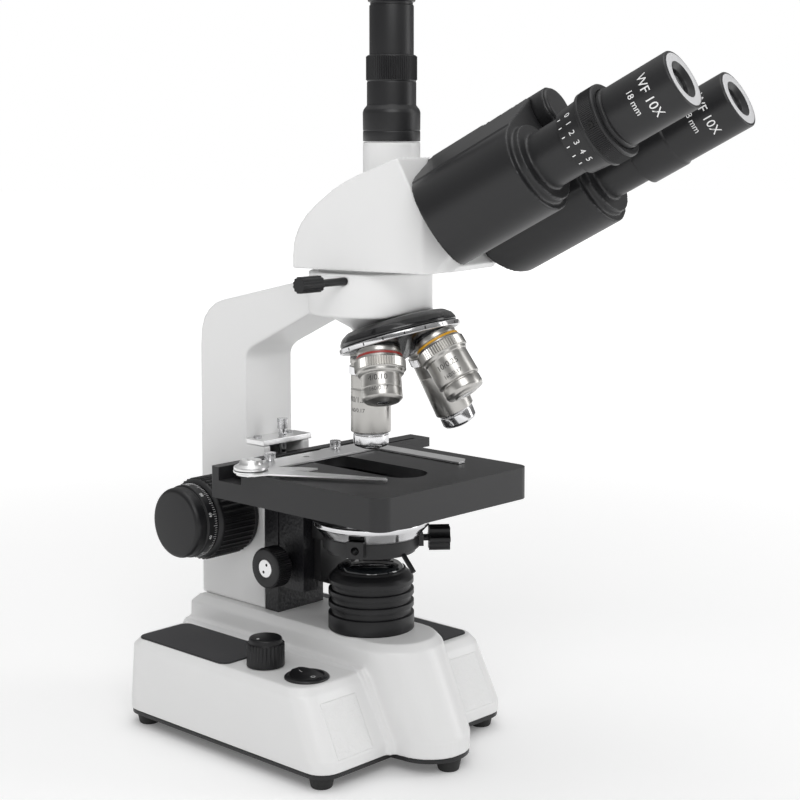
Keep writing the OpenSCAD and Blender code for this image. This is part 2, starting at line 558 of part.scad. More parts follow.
module head_lock_screw() color(black) on_axis() at_lock() {
    translate([0, 0, -4.8]) cylinder(r = 2, h = 22, $fn = 32);
    translate([0, 0, 16.8]) ribbed(4.3, 14.4, 12, 0.4, 1);
}
module hinge_shaft() color(steel) at_tubes() translate([0, hinge_t, -91]) cylinder(r = 5 - run, h = 92, $fn = 48);
module tube_housing(s, k0, k1) at_tubes() difference() {
    union() {
        difference() {
            union() {
                translate([s * half_eye, 0, -69]) cylinder(r = barrel_r, h = 65);
                translate([0, 0, -69]) linear_extrude(65) polygon([[s * 6.3, hinge_t + 10.4], [s * 41.8, 21.5],
                    [s * 30, 0], [s * 14, -12], [s * 7, -7], [s * 3.6, 14], [s * 3, 24]]);
            }
            // room for both knuckles
            translate([0, hinge_t, -90]) cylinder(r = knuckle_r + 0.5, h = 100);
            // leaning back wall
            translate([s * 30, 14, -68]) rotate([-7, -14 * s, 0]) translate([-100, -100, -60]) cube([200, 200, 60]);
        }
        translate([0, hinge_t, k0]) cylinder(r = knuckle_r, h = k1 - k0);
        translate([0, 0, max(k0, -67)]) linear_extrude(min(k1, -4) - max(k0, -67)) polygon([[s * 3, 20],
            [s * 1.5, hinge_t - 6], [s * 4, hinge_t + 10.6], [s * 9, hinge_t + 8], [s * 20, 28], [s * 16, 14]]);
        translate([s * half_eye, 0, -4]) cylinder(r = 20.2, h = 4);
        if (s > 0) translate([s * half_eye, 0, 0]) turned([[0, 0], [13.2, 0], [13.2, 22], [0, 22]]);
        if (s < 0) translate([s * half_eye, 0, 0]) turned([[0, 0], [14.4, 0], [14.4, 30], [0, 30]]);
    }
    translate([s * half_eye, 0, -58]) cylinder(r = 20.5, h = 50);
    translate([s * half_eye, 0, -20]) cylinder(r = 11.7, h = 80);
    translate([0, hinge_t, -95]) cylinder(r = 5, h = 110, $fn = 48);
    translate([s * 20, 0, -74]) cylinder(r = 6, h = 30, $fn = 48);
}
module tube_housing_left() color(black) tube_housing(-1, -75, -36.2);
module tube_housing_right() color(black) tube_housing(1, -35.8, 3);
module diopter_ring() color(black) at_tubes() translate([-half_eye, 0, 0]) difference() {
    union() {
        translate([0, 0, 19.4]) cylinder(r1 = 16.6, r2 = 17.4, h = 12.1);
        translate([0, 0, 31.4]) ribbed(19.2, 10.4, 70, 0.4, 0.8);
    }
    translate([0, 0, 15]) cylinder(r = 14.4 + run, h = 17);
    translate([0, 0, 30]) cylinder(r = 15.8, h = 20);
}
module eyepiece(s, z0, z1) at_tubes() translate([s * half_eye, 0, 0]) difference() {
    union() {
        translate([0, 0, 16]) cylinder(r = 11.6, h = z0 - 15.5);
        turned([[0, z0], [15, z0], [15, z1 - 0.8], [14.3, z1], [0, z1]]);
        if (s < 0) translate([0, 0, 34]) cylinder(r = 15.5, h = 10);
        if (s > 0) translate([0, 0, 22.4]) cylinder(r = 15.8, h = 20);
    }
    translate([0, 0, z1 - 2.4]) cylinder(r1 = 6.4, r2 = 9, h = 3);
    translate([0, 0, z1 - 6]) cylinder(r = 6.4, h = 5);
    translate([0, 0, 10]) cylinder(r = 8.5, h = z1 - 14);
}
module eyepiece_left() color(black) eyepiece(-1, 44, 79.5);
module eyepiece_right() color(black) eyepiece(1, 42.4, 79.5);
module eye_lens(s) at_tubes() translate([s * half_eye, 0, 0]) turned([[0, 73.6], [8.4, 73.6], [8.4, 75.4],
    [6.3, 75.4], [6.3, 75.9], [3.4, 76.7], [0, 77]]);
module eye_lens_left() color(glass) eye_lens(-1);
module eye_lens_right() color(glass) eye_lens(1);
module photo_focus_ring() color(black) on_head() translate([0, port_y, 0]) difference() {
    union() {
        turned([[0, 326], [15, 326], [15.1, 341], [14.6, 342.6], [12.9, 344.6], [12.9, 357.4], [0, 357.4]]);
        translate([0, 0, 357.4]) ribbed(13.4, 13.2, 48, 0.35, 0.7);
    }
    translate([0, 0, 320]) cylinder(r = photo_d / 2 + run, h = 60);
}
module photo_tube() color(black) on_head() translate([0, port_y, 0]) difference() {
    turned([[9.6, 327], [photo_d / 2, 327], [photo_d / 2, 396.6], [11.4, 397], [11.4, 398.2], [12.4, 398.4],
        [12.4, 399.6], [12, 400], [9.6, 400]]);
    translate([0, 0, 320]) cylinder(r = 9.6, h = 90);
}

base_casting();
base_plate();
rubber_feet();
case_screws();
hand_pads();
led_module();
lamp_collar();
field_lens();
power_board();
brightness_knob();
switch_bezel();
switch_rocker();
power_inlet();
arm_casting();
stop_shelf();
stop_screw();
focus_block();
coarse_shaft();
coarse_knob_left();
coarse_knob_right();
fine_shaft();
fine_knob_left();
fine_knob_right();
focus_slide();
stage_bracket();
stage_lower_plate();
stage_plate();
x_rail();
slide_holder();
holder_screws();
finger_clip();
stage_y_knob();
stage_x_knob();
condenser_knob();
condenser_holder();
condenser_body();
condenser_lens();
iris_ring();
condenser_clamp();
nosepiece_base();
turret();
objective_4x();
objective_10x();
objective_40x();
objective_100x();
sprung_tip_40x();
sprung_tip_100x();
head_casting();
head_prism();
head_lock_screw();
hinge_shaft();
tube_housing_left();
tube_housing_right();
diopter_ring();
eyepiece_left();
eyepiece_right();
eye_lens_left();
eye_lens_right();
photo_focus_ring();
photo_tube();
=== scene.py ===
import json
import math

import bmesh
import bpy
from mathutils import Matrix, Vector


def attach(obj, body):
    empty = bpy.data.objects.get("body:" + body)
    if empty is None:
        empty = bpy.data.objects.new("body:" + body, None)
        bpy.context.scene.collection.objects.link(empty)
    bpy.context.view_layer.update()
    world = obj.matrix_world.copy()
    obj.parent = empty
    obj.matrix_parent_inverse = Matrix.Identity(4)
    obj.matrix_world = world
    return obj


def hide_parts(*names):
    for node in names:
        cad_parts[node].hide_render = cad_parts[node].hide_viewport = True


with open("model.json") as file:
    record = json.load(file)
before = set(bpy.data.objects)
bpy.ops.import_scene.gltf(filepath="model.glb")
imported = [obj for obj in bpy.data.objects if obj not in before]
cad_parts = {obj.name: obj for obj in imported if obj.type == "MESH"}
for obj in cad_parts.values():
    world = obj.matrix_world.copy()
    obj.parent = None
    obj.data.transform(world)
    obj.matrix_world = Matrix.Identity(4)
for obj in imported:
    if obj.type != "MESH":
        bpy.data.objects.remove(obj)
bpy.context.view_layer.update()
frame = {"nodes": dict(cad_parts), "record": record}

MM = 0.001
BODY_OF = {node: body for body, nodes in frame["record"]["behaviour"]["bodies"].items() for node in nodes}
SLOT_OF = {entry["node"]: entry["material_slot"] for entry in frame["record"]["subparts"]}


# ---- places, the same as the CAD source's, in millimetres until MM scales them ----
def moved(x, y, z):
    return Matrix.Translation((x * MM, y * MM, z * MM))


def turned(degrees, axis):
    return Matrix.Rotation(math.radians(degrees), 4, axis)


AXIS_Y = 56
ON_AXIS = moved(0, AXIS_Y, 0)
ON_HEAD = ON_AXIS @ turned(11.6, "Z")
HALF_EYE = 30
TUBES = ON_HEAD @ moved(0, -119.4, 312.9) @ turned(90 - 28.4, "X") @ turned(-8.5, "Z")
LEFT_TUBE = TUBES @ moved(-HALF_EYE, 0, 0)
RIGHT_TUBE = TUBES @ moved(HALF_EYE, 0, 0)
PHOTO_PORT = ON_HEAD @ moved(0, -13.1, 0)
TURRET = ON_AXIS @ moved(0, 0, 280) @ turned(9, "Z") @ turned(162, "X")
SHOULDER = 68.5
FOCUS_Y, FOCUS_Z = 91.7, 116.7
FOCUS_SHAFT = ON_AXIS @ moved(0, FOCUS_Y, FOCUS_Z) @ turned(90, "Y")
CONDENSER_SHAFT = ON_AXIS @ moved(0, 48.5, 94) @ turned(90, "Y")
BRIGHTNESS = ON_AXIS @ moved(-52.5, 27, 49.9)


def on_objective(turn):
    return TURRET @ turned(turn, "Z") @ turned(18, "X") @ moved(0, 0, SHOULDER)


# ---- finishes ----
class Field:
    """A value that changes over a surface. Arithmetic on it adds Math nodes."""

    def __init__(self, shader, socket):
        self.shader, self.socket = shader, socket

    def math(self, operation, *values):
        return self.shader.node("ShaderNodeMath", {"operation": operation}, *values)

    def __add__(self, other):
        return self.math("ADD", self, other)

    __radd__ = __add__

    def __sub__(self, other):
        return self.math("SUBTRACT", self, other)

    def __rsub__(self, other):
        return self.math("SUBTRACT", other, self)

    def __mul__(self, other):
        return self.math("MULTIPLY", self, other)

    __rmul__ = __mul__

    def ramp(self, low, high):
        """0 below low, 1 above high, smooth between."""
        return self.shader.node("ShaderNodeMapRange", {"interpolation_type": "SMOOTHSTEP", "clamp": True},
                                self, low, high, 0.0, 1.0)


class Shader:
    """A material under construction around one Principled node."""

    def __init__(self, name):
        self.material = bpy.data.materials.new(name)
        self.material.use_nodes = True
        self.tree = self.material.node_tree
        self.skin = self.tree.nodes["Principled BSDF"]
        self.place = self.tree.nodes.new("ShaderNodeTexCoord").outputs["Object"]

    def node(self, kind, settings, *values):
        """A node: its settings first, then its sockets in order. The result is its first output."""
        made = self.tree.nodes.new(kind)
        for key, value in settings.items():
            setattr(made, key, value)
        sockets = [s for s in made.inputs if s.enabled]
        for socket, value in zip(sockets, values):
            self.feed(socket, value)
        return Field(self, [s for s in made.outputs if s.enabled][0])

    def feed(self, socket, value):
        if isinstance(value, Field):
            self.tree.links.new(value.socket, socket)
        elif isinstance(value, bpy.types.NodeSocket):
            self.tree.links.new(value, socket)
        else:
            socket.default_value = value

    def set(self, name, value):
        self.feed(self.skin.inputs[name], value)

    def scaled(self, x, y, z):
        """Object coordinates stretched by a factor on each axis."""
        return self.node("ShaderNodeMapping", {}, self.place, (0, 0, 0), (0, 0, 0), (x, y, z))

    def noise(self, scale, detail=3.0, rough=0.5, at=None):
        return self.node("ShaderNodeTexNoise", {}, at or self.place, scale, detail, rough)

    def cells(self, scale):
        return self.node("ShaderNodeTexVoronoi", {"feature": "F1"}, self.place, scale)

    def axis(self, index):
        split = self.tree.nodes.new("ShaderNodeSeparateXYZ")
        self.tree.links.new(self.place, split.inputs[0])
        return Field(self, split.outputs[index])

    def mix(self, factor, a, b):
        made = self.tree.nodes.new("ShaderNodeMix")
        made.data_type = "RGBA"
        self.feed(made.inputs[0], factor)
        self.feed(made.inputs[6], a)
        self.feed(made.inputs[7], b)
        return Field(self, made.outputs[2])

    def bump(self, height, strength, distance):
        made = self.tree.nodes.new("ShaderNodeBump")
        made.inputs["Strength"].default_value = strength
        made.inputs["Distance"].default_value = distance
        self.feed(made.inputs["Height"], height)
        self.set("Normal", Field(self, made.outputs[0]))


GLOSS_SPREAD = 0.1


def rgba(colour, factor=1.0):
    return tuple(min(1.0, c * factor) for c in colour) + (1.0,)


def painted(name, colour, rough, mottle=0.06, grain=2600, height=0.02, coat=0.0, specular=0.5):
    """Paint, lacquer or moulded plastic: slight mottling, uneven gloss and a fine grain."""
    s = Shader(name)
    cloud = s.noise(35, 4.0, 0.6)
    fine = s.noise(grain, 2.0, 0.6)
    s.set("Base Color", s.mix(cloud, rgba(colour, 1 - mottle), rgba(colour, 1 + mottle)))
    s.set("Roughness", cloud * GLOSS_SPREAD + (rough - GLOSS_SPREAD / 2) + fine * 0.05)
    s.set("Coat Weight", coat)
    s.skin.inputs["Coat Roughness"].default_value = 0.12
    s.skin.inputs["Specular IOR Level"].default_value = specular
    s.bump(fine, 0.35, height * MM)
    return s


def turned_metal(name, colour, rough, spread):
    """Machined or plated metal: streaky gloss and faint tool marks."""
    s = Shader(name)
    cloud = s.noise(60, 3.0, 0.6)
    streak = s.noise(700, 2.0, 0.7, s.scaled(0.25, 0.25, 6))
    s.set("Base Color", s.mix(cloud, rgba(colour, 0.94), rgba(colour, 1.03)))
    s.set("Roughness", cloud * spread + streak * spread + (rough - spread))
    s.set("Metallic", 1.0)
    s.bump(streak, 0.1, 0.006 * MM)
    return s


def enamel():
    """White casting paint, with a stippled panel on the front of each wing."""
    s = Shader("white_enamel")
    cloud, fine = s.noise(22, 4.0, 0.6), s.noise(1500, 2.0, 0.5)
    x, y, z = s.axis(0), s.axis(1), s.axis(2)
    side = s.node("ShaderNodeMath", {"operation": "ABSOLUTE"}, x)
    past_inner, past_outer = side.ramp(0.0350, 0.0356), side.ramp(0.0600, 0.0606)
    past_foot, past_top, past_front = z.ramp(0.0155, 0.0160), z.ramp(0.0415, 0.0420), y.ramp(0.0440, 0.0444)
    panel = past_inner * (1 - past_outer) * past_foot * (1 - past_top) * (1 - past_front)
    stipple = s.noise(620, 3.0, 0.7)
    s.set("Base Color", s.mix(cloud, (0.80, 0.80, 0.80, 1), (0.84, 0.84, 0.835, 1)))
    s.set("Roughness", cloud * 0.08 + 0.34 + panel * 0.2)
    s.set("Coat Weight", 0.15)
    s.skin.inputs["Coat Roughness"].default_value = 0.15
    s.bump(fine * 0.08 + panel * stipple * 2.0, 0.6, 0.5 * MM)
    return s


def wrinkled(name, colour, rough, scale, height, specular=0.5):
    """Wrinkle-finish paint."""
    s = Shader(name)
    lumps, fine = s.cells(scale), s.noise(scale * 1.7, 3.0, 0.6)
    s.set("Base Color", s.mix(fine, rgba(colour, 0.85), rgba(colour, 1.2)))
    s.set("Roughness", fine * 0.16 + (rough - 0.08))
    s.skin.inputs["Specular IOR Level"].default_value = specular
    s.bump(lumps * 0.7 + fine * 0.5, 0.7, height * MM)
    return s


def brushed(name, colour, rough, along):
    """Flat metal with brush marks along one axis."""
    s = Shader(name)
    stretch = [9.0, 9.0, 9.0]
    stretch[along] = 0.3
    lines = s.noise(260, 4.0, 0.7, s.scaled(*stretch))
    cloud = s.noise(40, 3.0, 0.6)
    s.set("Base Color", s.mix(cloud, rgba(colour, 0.93), rgba(colour, 1.04)))
    s.set("Roughness", lines * 0.16 + cloud * 0.08 + (rough - 0.12))
    s.set("Metallic", 1.0)
    s.bump(lines, 0.3, 0.01 * MM)
    return s


def clear(name, colour):
    """Coated optical glass, made opaque: its dark colour is painted shade, standing for the black, shaded
    inside seen through it.
    """
    s = Shader(name)
    film = s.noise(50, 3.0, 0.6)
    # Painted shade: the near-black colour stands for the dark inside, black parts and shade, seen through
    # clear glass.
    s.set("Base Color", s.mix(film, rgba(colour, 0.8), rgba(colour, 1.3)))
    s.set("Roughness", film * 0.03 + 0.02)
    s.set("Coat Weight", 1.0)
    s.skin.inputs["Coat Roughness"].default_value = 0.02
    s.skin.inputs["Specular IOR Level"].default_value = 0.8
    return s


FINISH = {
    "white_enamel": enamel(),
    "black_enamel": painted("black_enamel", (0.012, 0.012, 0.013), 0.36, grain=2100, height=0.05,
                            specular=0.45),
    "wrinkle_black": wrinkled("wrinkle_black", (0.009, 0.009, 0.011), 0.42, 520, 0.35, 0.5),
    "stage_black": painted("stage_black", (0.016, 0.016, 0.017), 0.40, grain=2400, height=0.06,
                           specular=0.45),
    "black_plastic": painted("black_plastic", (0.007, 0.007, 0.008), 0.38, grain=1800, height=0.03,
                             specular=0.4),
    "gloss_black": painted("gloss_black", (0.005, 0.005, 0.006), 0.2, grain=900, height=0.01, coat=0.3),
    "grey_rubber": wrinkled("grey_rubber", (0.040, 0.040, 0.043), 0.6, 1500, 0.12, 0.35),
    "foot_rubber": painted("foot_rubber", (0.012, 0.012, 0.012), 0.6, grain=1200, height=0.05),
    "chrome": turned_metal("chrome", (0.66, 0.66, 0.67), 0.14, 0.03),
    "silver": brushed("silver", (0.86, 0.86, 0.86), 0.34, 0),
    "steel": brushed("steel", (0.58, 0.58, 0.59), 0.34, 1),
    "nickel": turned_metal("nickel", (0.50, 0.49, 0.47), 0.30, 0.04),
    # glass: its near-black colour is painted shade of the inside seen through it
    "glass": clear("glass", (0.010, 0.012, 0.014)),
    "circuit_green": painted("circuit_green", (0.03, 0.14, 0.06), 0.45),
    "marking_white": painted("marking_white", (0.80, 0.80, 0.80), 0.5, mottle=0.02),
    "marking_black": painted("marking_black", (0.02, 0.02, 0.02), 0.5),
    "eye_ring": painted("eye_ring", (0.60, 0.60, 0.61), 0.35, mottle=0.03),
    "band_red": painted("band_red", (0.32, 0.035, 0.03), 0.35),
    "band_yellow": painted("band_yellow", (0.70, 0.36, 0.02), 0.35),
    "seam_dark": painted("seam_dark", (0.004, 0.004, 0.004), 0.7),
}


# ---- making pieces ----
def place(piece, body, slot, finish=None, replaces=()):
    """Gives a finished mesh its finish, its body and the CAD nodes it stands for."""
    if not piece.data.materials:
        piece.data.materials.append(FINISH[finish or slot].material)
    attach(piece, body)
    if replaces:
        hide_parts(*replaces)
    return piece


STOOD_FOR = set()


def stand_for(piece, node, finish=None):
    """A piece that replaces one CAD node, with that node's body and slot."""
    STOOD_FOR.add(node)
    return place(piece, BODY_OF[node], SLOT_OF[node], finish, (node,))


def add(name, mesh):
    piece = bpy.data.objects.new(name, mesh)
    bpy.context.scene.collection.objects.link(piece)
    return piece


def baked(piece):
    """Applies every modifier and leaves a plain mesh."""
    graph = bpy.context.evaluated_depsgraph_get()
    mesh = bpy.data.meshes.new_from_object(piece.evaluated_get(graph))
    old = piece.data
    piece.modifiers.clear()
    piece.data = mesh
    if isinstance(old, bpy.types.Mesh) and old.users == 0:
        bpy.data.meshes.remove(old)
    return piece


def smooth(mesh, angle):
    mesh.shade_smooth()
    mesh.set_sharp_from_angle(angle=math.radians(angle))


def made_solid(name, b, matrix=None, angle=None):
    """An object from a bmesh, put in its place, smooth except at edges sharper than the angle."""
    mesh = bpy.data.meshes.new(name)
    b.to_mesh(mesh)
    b.free()
    if matrix is not None:
        mesh.transform(matrix)
    if angle:
        smooth(mesh, angle)
    return add(name, mesh)


def clean_copy(node, name):
    """A welded copy of a CAD node, with its flat faces whole again."""
    mesh = frame["nodes"][node].data.copy()
    mesh.materials.clear()
    b = bmesh.new()
    b.from_mesh(mesh)
    bmesh.ops.remove_doubles(b, verts=b.verts, dist=0.004 * MM)
    bmesh.ops.dissolve_limit(b, angle_limit=math.radians(0.6), verts=b.verts, edges=b.edges)
    b.to_mesh(mesh)
    b.free()
    return add(name, mesh)


def eased(node, width, name=None):
    """A CAD node's shape with its sharp edges rounded off."""
    piece = clean_copy(node, name or node + "_skin")
    bevel = piece.modifiers.new("edges", "BEVEL")
    bevel.width, bevel.segments = width * MM, 2
    bevel.limit_method, bevel.angle_limit = "ANGLE", math.radians(32)
    bevel.use_clamp_overlap = True
    baked(piece)
    smooth(piece.data, 50)
    even = piece.modifiers.new("even", "WEIGHTED_NORMAL")
    even.keep_sharp, even.weight = True, 100
    return baked(piece)


def cast(node, voxel, rounds, keep, filler=None):
    """A casting: the CAD node's shape, with any filler, given soft edges and filleted corners.

    Voxel is in millimetres, rounds is how often it is smoothed, and keep is the share of faces that stays.
    """
    piece = clean_copy(node, node + "_cast")
    if filler:
        piece = joined(node + "_cast", [piece, filler])
    mesher = piece.modifiers.new("skin", "REMESH")
    mesher.mode, mesher.voxel_size, mesher.adaptivity = "VOXEL", voxel * MM, 0
    soften = piece.modifiers.new("soften", "SMOOTH")
    soften.factor, soften.iterations = 0.5, rounds
    thin = piece.modifiers.new("thin", "DECIMATE")
    thin.ratio = keep
    baked(piece)
    piece.data.shade_smooth()
    return piece


TINY = 1e-6
NEARLY_STRAIGHT = 0.995


def softened(profile, size):
    """Rounds the corners of a closed profile, except those on the axis."""
    out = []
    count = len(profile)
    for i in range(count):
        before, at, after = (Vector(profile[(i + k) % count]) for k in (-1, 0, 1))
        a, b = before - at, after - at
        fixed = at.x < TINY or a.length < TINY or b.length < TINY
        if fixed or abs(a.normalized().dot(b.normalized())) > NEARLY_STRAIGHT:
            out.append(tuple(at))
            continue
        start = at + a.normalized() * min(size, a.length * 0.45)
        end = at + b.normalized() * min(size, b.length * 0.45)
        for t in (0.0, 0.5, 1.0):
            p = start.lerp(at, t).lerp(at.lerp(end, t), t)
            out.append(tuple(p))
    return out


def lathe(name, matrix, profile, soft=0.25, segments=128):
    """A closed profile of (radius, height) in millimetres, turned about the local Z axis."""
    points = softened(profile, soft)
    b = bmesh.new()
    rings = []
    for i in range(segments):
        a = 2 * math.pi * i / segments
        rings.append([b.verts.new((r * MM * math.cos(a), r * MM * math.sin(a), z * MM)) for r, z in points])
    n = len(points)
    for i in range(segments):
        one, two = rings[i], rings[(i + 1) % segments]
        for k in range(n):
            m = (k + 1) % n
            if points[k][0] < TINY and points[m][0] < TINY:
                continue
            b.faces.new((one[k], two[k], two[m], one[m]))
    bmesh.ops.remove_doubles(b, verts=b.verts, dist=0.001 * MM)
    bmesh.ops.recalc_face_normals(b, faces=b.faces)
    return made_solid(name, b, matrix, 40)


def tree_of_ribs():
    """Geometry Nodes: a ring of upright ribs."""
    tree = bpy.data.node_groups.new("rib_ring", "GeometryNodeTree")
    face = tree.interface
    face.new_socket("Geometry", in_out="OUTPUT", socket_type="NodeSocketGeometry")
    for name, kind in (("Count", "NodeSocketInt"), ("Radius", "NodeSocketFloat"),
                       ("Height", "NodeSocketFloat"),
                       ("Rib", "NodeSocketFloat"), ("Sides", "NodeSocketInt"),
                       ("Finish", "NodeSocketMaterial")):
        face.new_socket(name, in_out="INPUT", socket_type=kind)
    new, link = tree.nodes.new, tree.links.new
    given, result = new("NodeGroupInput"), new("NodeGroupOutput")
    ring, rib = new("GeometryNodeMeshCircle"), new("GeometryNodeMeshCylinder")
    place_ribs, whole, paint = (new("GeometryNodeInstanceOnPoints"), new("GeometryNodeRealizeInstances"),
                                new("GeometryNodeSetMaterial"))
    where, face_out = new("GeometryNodeInputPosition"), new("FunctionNodeAlignEulerToVector")
    lift, half, offset = new("GeometryNodeTransform"), new("ShaderNodeMath"), new("ShaderNodeCombineXYZ")
    half.operation = "MULTIPLY"
    half.inputs[1].default_value = 0.5
    face_out.axis = "X"
    link(given.outputs["Count"], ring.inputs["Vertices"])
    link(given.outputs["Radius"], ring.inputs["Radius"])
    link(given.outputs["Sides"], rib.inputs["Vertices"])
    link(given.outputs["Rib"], rib.inputs["Radius"])
    link(given.outputs["Height"], rib.inputs["Depth"])
    link(given.outputs["Height"], half.inputs[0])
    link(half.outputs[0], offset.inputs["Z"])
    link(rib.outputs["Mesh"], lift.inputs["Geometry"])
    link(offset.outputs[0], lift.inputs["Translation"])
    link(where.outputs[0], face_out.inputs["Vector"])
    link(ring.outputs["Mesh"], place_ribs.inputs["Points"])
    link(lift.outputs[0], place_ribs.inputs["Instance"])
    link(face_out.outputs[0], place_ribs.inputs["Rotation"])
    link(place_ribs.outputs[0], whole.inputs[0])
    link(whole.outputs[0], paint.inputs["Geometry"])
    link(given.outputs["Finish"], paint.inputs["Material"])
    link(paint.outputs[0], result.inputs[0])
    return tree


RIBS = tree_of_ribs()


def ribs(name, matrix, body, slot, count, radius, z, height, rib, sides=4, finish=None):
    """A ring of ribs round the local Z axis, from z upwards. Lengths in millimetres."""
    piece = add(name, bpy.data.meshes.new(name))
    maker = piece.modifiers.new("ribs", "NODES")
    maker.node_group = RIBS
    values = {"Count": count, "Radius": radius * MM, "Height": height * MM, "Rib": rib * MM, "Sides": sides,
              "Finish": FINISH[finish or slot].material}
    for item in RIBS.interface.items_tree:
        if item.in_out == "INPUT":
            maker[item.identifier] = values[item.name]
    baked(piece)
    piece.data.transform(matrix @ moved(0, 0, z))
    return place(piece, body, slot, finish)


def block(name, matrix, size, at, ease=0.1):
    """A small bevelled bar or tick, size and centre in millimetres."""
    b = bmesh.new()
    bmesh.ops.create_cube(b, size=1)
    bmesh.ops.scale(b, vec=[s * MM for s in size], verts=b.verts)
    bmesh.ops.bevel(b, geom=b.edges, offset=min(min(size) * 0.3, ease) * MM, segments=2, affect="EDGES")
    bmesh.ops.translate(b, vec=[c * MM for c in at], verts=b.verts)
    return made_solid(name, b, matrix, 40)


def joined(name, parts):
    """One mesh from several."""
    b = bmesh.new()
    for part in parts:
        b.from_mesh(part.data)
        mesh = part.data
        bpy.data.objects.remove(part)
        bpy.data.meshes.remove(mesh)
    return made_solid(name, b)


def lettering(name, text, size, matrix, radius, angle, z, turn=0, depth=0.05, flare=0.0):
    """Numbers and short optical marks, thin and raised, wrapped round a cylinder or cone about local Z."""
    curve = bpy.data.curves.new(name, "FONT")
    curve.body, curve.size = text, size * MM
    curve.align_x, curve.align_y = "CENTER", "CENTER"
    curve.extrude, curve.resolution_u = depth * MM, 3
    source = add(name + "_curve", curve)
    graph = bpy.context.evaluated_depsgraph_get()
    mesh = bpy.data.meshes.new_from_object(source.evaluated_get(graph))
    bpy.data.objects.remove(source)
    mesh.transform(turned(turn, "Z"))
    for v in mesh.vertices:
        a = math.radians(angle) + v.co.x / (radius * MM)
        r = radius * MM + v.co.z + flare * v.co.y
        v.co = Vector((r * math.cos(a), r * math.sin(a), z * MM + v.co.y))
    mesh.materials.clear()
    mesh.transform(matrix)
    return add(name, mesh)


# ---- castings ----
stand_for(cast("base_casting", 0.8, 3, 0.35), "base_casting")
stand_for(cast("arm_casting", 0.9, 4, 0.45), "arm_casting")
# The CAD casting has a slot in its roof, over the back edge of the prism chamber. These blocks fill it,
# on an arc about y -2.9, z 267 in the head's own frame.
roof_wall = joined("roof_wall", [
    block(f"roof_wall_{k}", ON_HEAD @ moved(0, -2.9, 267) @ turned(angle - 90, "X"), (54, 5.4, 4),
          (0, 0, 28.4))
    for k, angle in enumerate((50, 54, 58, 62, 66))])
stand_for(cast("head_casting", 0.85, 5, 0.5, roof_wall), "head_casting")
for side in ("left", "right"):
    stand_for(cast("tube_housing_" + side, 0.7, 4, 0.5), "tube_housing_" + side)

# ---- photo tube ----
stand_for(lathe("photo_tube_turned", PHOTO_PORT, [
    (9.6, 327), (11.6, 327), (11.6, 396.2), (11.1, 396.5), (11.1, 397.9), (12.2, 398.2), (12.4, 398.6),
    (12.4, 399.6), (12.0, 400), (10.2, 400), (9.6, 399.4)], 0.3), "photo_tube")
stand_for(lathe("photo_ring_turned", PHOTO_PORT, [
    (11.65, 326), (15.0, 326), (15.0, 331), (14.85, 331.2), (14.85, 331.6), (15.0, 331.8), (15.1, 341),
    (14.6, 342.6), (13.0, 344.6), (12.9, 345), (12.9, 356.6), (12.6, 357), (12.9, 357.4), (12.9, 370.2),
    (12.4, 370.7), (11.65, 370.7)], 0.3), "photo_focus_ring")
ribs("photo_ring_knurl", PHOTO_PORT, "photo_ring", "black_enamel", 72, 12.95, 357.8, 12.2, 0.42)

# ---- eyepieces ----
EYE_END = 79.5
for side, matrix, body in (("left", LEFT_TUBE, "eye_left"), ("right", RIGHT_TUBE, "tube_right")):
    start = 44 if side == "left" else 42.4
    profile = [(8.5, 16), (11.6, 16), (11.6, 22)]
    if side == "left":
        profile += [(11.6, 34), (15.5, 34), (15.5, 43.6), (14.7, 44)]
    else:
        profile += [(11.6, 22.4), (15.8, 22.4), (15.8, 41.6), (15.3, 42.4)]
    profile += [(15.0, start + 0.4), (15.0, EYE_END - 0.7), (14.6, EYE_END - 0.1), (13.9, EYE_END),
                (9.4, EYE_END), (6.6, EYE_END - 2.2), (6.4, EYE_END - 3.4), (6.4, EYE_END - 4),
                (8.5, EYE_END - 4)]
    stand_for(lathe("eyepiece_" + side + "_turned", matrix, profile, 0.25), "eyepiece_" + side)
    place(lathe("eye_ring_" + side, matrix, [(9.2, EYE_END - 0.3), (13.6, EYE_END - 0.3),
                                             (13.6, EYE_END + 0.12),
                                             (9.5, EYE_END + 0.12)], 0.1), body, "black_enamel", "eye_ring")
    marks = [lettering("mark_a_" + side, "WF 10X", 6.6, matrix, 15.0, 194, 66, depth=0.04),
             lettering("mark_b_" + side, "18 mm", 4.6, matrix, 15.0, 192, 58.5, depth=0.04)]
    place(joined("eyepiece_marks_" + side, marks), body, "black_enamel", "marking_white")

place(lathe("hinge_cover", TUBES @ moved(0, 33, 0),
            [(0, 1.0), (10.6, 1.0), (10.6, 3.6), (9.8, 4.4), (8.6, 4.6),
                                                     (0, 4.7)], 0.4, 96), "head", "black_enamel")

# dioptre ring, its scale and its index marks
stand_for(lathe("diopter_turned", LEFT_TUBE, [
    (14.5, 19.4), (16.4, 19.4), (17.4, 31.0), (18.8, 31.4), (19.0, 31.8), (19.0, 33.0), (18.7, 33.2),
    (18.7, 40.2), (19.0, 40.4), (19.0, 41.2), (18.2, 41.8), (15.8, 41.8), (15.8, 32), (14.5, 32)], 0.2),
    "diopter_ring")
ribs("diopter_knurl", LEFT_TUBE, "diopter", "black_enamel", 120, 18.75, 33.3, 6.9, 0.34)
place(lathe("diopter_screw", LEFT_TUBE @ turned(190, "Z") @ moved(18.6, 0, 36.8) @ turned(90, "Y"),
            [(0, 0), (1.5, 0), (1.5, 0.7), (0.7, 0.75), (0.6, 0.4), (0, 0.4)], 0.1, 24), "diopter",
      "black_enamel",
      "seam_dark")
scale = []
for i in range(6):
    around = 150 + i * 17
    scale.append(lettering(f"scale_{i}", str(i), 4.4, LEFT_TUBE, 16.95, around, 26.0, flare=1 / 11.6))
    scale.append(block(f"scale_tick_{i}", LEFT_TUBE @ turned(around, "Z"), (0.3, 0.5, 2.6),
                       (16.47, 0, 21.6), 0.02))
